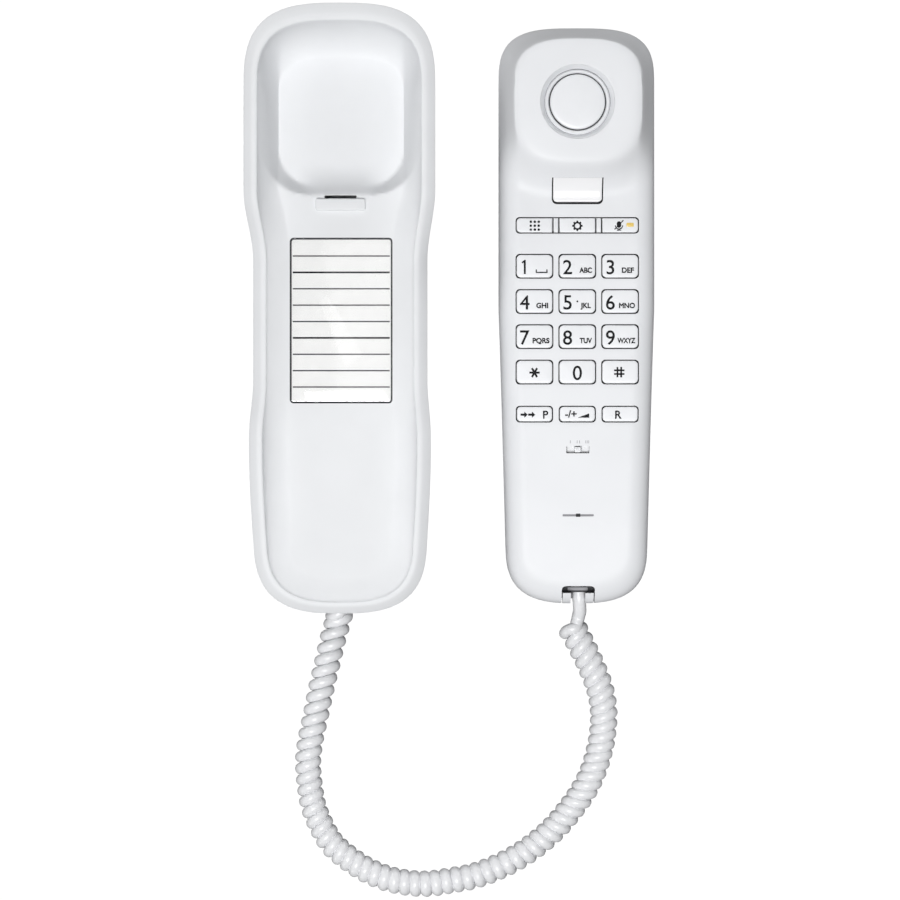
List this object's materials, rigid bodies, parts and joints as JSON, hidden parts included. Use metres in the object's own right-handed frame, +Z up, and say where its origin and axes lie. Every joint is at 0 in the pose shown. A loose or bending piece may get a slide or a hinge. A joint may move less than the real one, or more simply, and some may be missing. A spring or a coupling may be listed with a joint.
{
  "type": "slimline corded telephone",
  "caption": "White slimline corded telephone: a long cradle base with an ear cup and index card, beside its keypad handset, joined by a curly cord.",
  "frame": {"origin": "on the surface that the telephone lies on, under the middle of the base and handset side by side", "axes": "+Y along both halves towards the earpiece end, +X from the base to the handset, +Z up out of the keypad face"},
  "size_m": [0.139, 0.3039, 0.03],
  "materials": {
    "base_plastic": "satin moulded",
    "back_plastic": "fine spark texture",
    "handset_plastic": "satin moulded",
    "key_plastic": "satin, printed legends",
    "card_paper": "ruled paper card",
    "clear_cover": "clear polished",
    "rubber": "matt",
    "screw_steel": "zinc plated",
    "ballast_steel": "raw",
    "capsule_metal": "satin",
    "ringer_brass": "satin",
    "circuit_board": "solder mask",
    "jack_black": "satin",
    "silicone": "matt silicone",
    "lamp_amber": "translucent",
    "cord_vinyl": "satin vinyl",
    "plug_clear": "clear"
  },
  "bodies": {
    "base": {"base_housing": "base_plastic", "base_back_plate": "back_plastic", "base_board": "circuit_board", "base_cord_jack": "jack_black", "line_jack": "jack_black", "base_screw_1": "screw_steel", "base_screw_2": "screw_steel", "foot_1": "rubber", "foot_2": "rubber", "foot_3": "rubber", "foot_4": "rubber", "index_card": "card_paper", "index_card_cover": "clear_cover", "ballast_weight": "ballast_steel", "ringer": "ringer_brass", "cord_coil": "cord_vinyl", "cord_tail_base": "cord_vinyl", "cord_tail_handset": "cord_vinyl", "cord_plug_base": "plug_clear"},
    "handset": {"handset_front_shell": "handset_plastic", "handset_back_shell": "handset_plastic", "handset_board": "circuit_board", "handset_cord_jack": "jack_black", "handset_screw_1": "screw_steel", "handset_screw_2": "screw_steel", "earpiece_ring": "handset_plastic", "earpiece_cap": "key_plastic", "receiver_capsule": "capsule_metal", "microphone": "capsule_metal", "keypad_mat": "silicone", "mode_switch_body": "jack_black", "hook_switch": "jack_black", "cord_plug_handset": "plug_clear"},
    "hanger_tab": {"hanger_tab": "base_plastic"},
    "hook_button": {"hook_button": "key_plastic"},
    "mode_slider": {"mode_slider": "key_plastic"},
    "key_1": {"key_1": "key_plastic"},
    "key_2": {"key_2": "key_plastic"},
    "key_3": {"key_3": "key_plastic"},
    "key_4": {"key_4": "key_plastic"},
    "key_5": {"key_5": "key_plastic"},
    "key_6": {"key_6": "key_plastic"},
    "key_7": {"key_7": "key_plastic"},
    "key_8": {"key_8": "key_plastic"},
    "key_9": {"key_9": "key_plastic"},
    "key_star": {"key_star": "key_plastic"},
    "key_0": {"key_0": "key_plastic"},
    "key_hash": {"key_hash": "key_plastic"},
    "key_directory": {"key_directory": "key_plastic"},
    "key_settings": {"key_settings": "key_plastic"},
    "key_mute": {"key_mute": "key_plastic", "mute_lamp_lens": "lamp_amber"},
    "key_redial": {"key_redial": "key_plastic"},
    "key_volume": {"key_volume": "key_plastic"},
    "key_flash": {"key_flash": "key_plastic"}
  },
  "joints": [
    {"name": "handset_return", "type": "hinge", "parent": "base", "child": "handset", "pos_m": [0.0029, 0, 0.02], "axis": [0, -1, 0], "range_deg": [0, 180]},
    {"name": "hanger_tab_slide", "type": "slide", "parent": "base", "child": "hanger_tab", "axis": [0, 0, -1], "range_m": [-0.01, 0]},
    {"name": "hook_press", "type": "hinge", "parent": "handset", "child": "hook_button", "pos_m": [0.043, 0.04375, 0.0238], "axis": [1, 0, 0], "range_deg": [0, 6], "stiffness_Nm_per_rad": 0.03},
    {"name": "mode_slide", "type": "slide", "parent": "handset", "child": "mode_slider", "axis": [1, 0, 0], "range_m": [-0.0025, 0.0025]},
    {"name": "press_1", "type": "slide", "parent": "handset", "child": "key_1", "axis": [0, 0, -1], "range_m": [0, 0.0012], "stiffness_N_per_m": 150},
    {"name": "press_2", "type": "slide", "parent": "handset", "child": "key_2", "axis": [0, 0, -1], "range_m": [0, 0.0012], "stiffness_N_per_m": 150},
    {"name": "press_3", "type": "slide", "parent": "handset", "child": "key_3", "axis": [0, 0, -1], "range_m": [0, 0.0012], "stiffness_N_per_m": 150},
    {"name": "press_4", "type": "slide", "parent": "handset", "child": "key_4", "axis": [0, 0, -1], "range_m": [0, 0.0012], "stiffness_N_per_m": 150},
    {"name": "press_5", "type": "slide", "parent": "handset", "child": "key_5", "axis": [0, 0, -1], "range_m": [0, 0.0012], "stiffness_N_per_m": 150},
    {"name": "press_6", "type": "slide", "parent": "handset", "child": "key_6", "axis": [0, 0, -1], "range_m": [0, 0.0012], "stiffness_N_per_m": 150},
    {"name": "press_7", "type": "slide", "parent": "handset", "child": "key_7", "axis": [0, 0, -1], "range_m": [0, 0.0012], "stiffness_N_per_m": 150},
    {"name": "press_8", "type": "slide", "parent": "handset", "child": "key_8", "axis": [0, 0, -1], "range_m": [0, 0.0012], "stiffness_N_per_m": 150},
    {"name": "press_9", "type": "slide", "parent": "handset", "child": "key_9", "axis": [0, 0, -1], "range_m": [0, 0.0012], "stiffness_N_per_m": 150},
    {"name": "press_star", "type": "slide", "parent": "handset", "child": "key_star", "axis": [0, 0, -1], "range_m": [0, 0.0012], "stiffness_N_per_m": 150},
    {"name": "press_0", "type": "slide", "parent": "handset", "child": "key_0", "axis": [0, 0, -1], "range_m": [0, 0.0012], "stiffness_N_per_m": 150},
    {"name": "press_hash", "type": "slide", "parent": "handset", "child": "key_hash", "axis": [0, 0, -1], "range_m": [0, 0.0012], "stiffness_N_per_m": 150},
    {"name": "press_directory", "type": "slide", "parent": "handset", "child": "key_directory", "axis": [0, 0, -1], "range_m": [0, 0.0012], "stiffness_N_per_m": 150},
    {"name": "press_settings", "type": "slide", "parent": "handset", "child": "key_settings", "axis": [0, 0, -1], "range_m": [0, 0.0012], "stiffness_N_per_m": 150},
    {"name": "press_mute", "type": "slide", "parent": "handset", "child": "key_mute", "axis": [0, 0, -1], "range_m": [0, 0.0012], "stiffness_N_per_m": 150},
    {"name": "press_redial", "type": "slide", "parent": "handset", "child": "key_redial", "axis": [0, 0, -1], "range_m": [0, 0.0012], "stiffness_N_per_m": 150},
    {"name": "press_volume", "type": "slide", "parent": "handset", "child": "key_volume", "axis": [0, 0, -1], "range_m": [0, 0.0012], "stiffness_N_per_m": 150},
    {"name": "press_flash", "type": "slide", "parent": "handset", "child": "key_flash", "axis": [0, 0, -1], "range_m": [0, 0.0012], "stiffness_N_per_m": 150}
  ]
}
